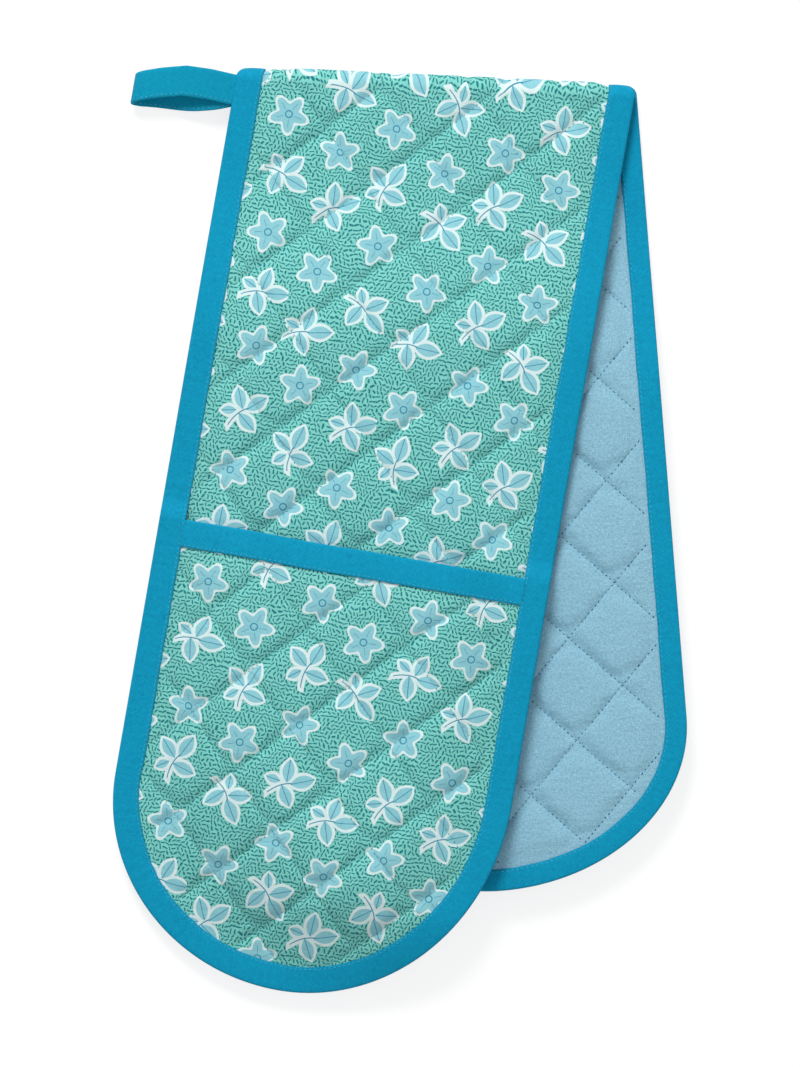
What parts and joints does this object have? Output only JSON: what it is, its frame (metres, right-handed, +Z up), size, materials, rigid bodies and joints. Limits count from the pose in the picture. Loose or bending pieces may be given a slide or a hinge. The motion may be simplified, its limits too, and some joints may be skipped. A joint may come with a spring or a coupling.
{
  "type": "double oven glove",
  "caption": "Folded quilted double oven glove: a long padded strip with a hand pocket at each rounded end, bound edges and a hanging loop.",
  "frame": {"origin": "centre of the folded glove's bounding box, at the table", "axes": "+Y along the glove towards its fold, +Z up from the table, +X to the right as the picture shows it"},
  "size_m": [0.2689, 0.4235, 0.0335],
  "materials": {
    "printed_cotton": "matte",
    "wadding": "matte",
    "lining_cotton": "matte",
    "edge_binding": "matte",
    "mouth_binding": "matte",
    "loop_tape": "matte"
  },
  "bodies": {
    "rear_half": {"rear_outer_cover": "printed_cotton", "rear_wadding": "wadding", "rear_lining": "lining_cotton", "rear_edge_binding": "edge_binding", "rear_pocket_outer_cover": "printed_cotton", "rear_pocket_wadding": "wadding", "rear_pocket_lining": "lining_cotton", "rear_pocket_mouth_binding": "mouth_binding", "fold_outer_cover": "printed_cotton", "fold_wadding": "wadding", "fold_lining": "lining_cotton", "fold_binding_left": "edge_binding", "fold_binding_right": "edge_binding"},
    "front_half": {"front_outer_cover": "printed_cotton", "front_wadding": "wadding", "front_lining": "lining_cotton", "front_edge_binding": "edge_binding", "front_pocket_outer_cover": "printed_cotton", "front_pocket_wadding": "wadding", "front_pocket_lining": "lining_cotton", "front_pocket_mouth_binding": "mouth_binding", "loop_root": "loop_tape"},
    "loop": {"hanging_loop": "loop_tape"}
  },
  "joints": [
    {"name": "fold_hinge", "type": "hinge", "parent": "rear_half", "child": "front_half", "pos_m": [0, 0.20592, 0.00605], "axis": [-1, 0, 0], "range_deg": [0, 174], "deforming": ["fold_outer_cover", "fold_wadding", "fold_lining", "fold_binding_left", "fold_binding_right"]},
    {"name": "loop_hinge", "type": "hinge", "parent": "front_half", "child": "loop", "pos_m": [-0.089, 0.20532, 0.00945], "axis": [0.1253, 0.9921, 0], "range_deg": [-85, 85], "deforming": ["loop_root"]}
  ]
}
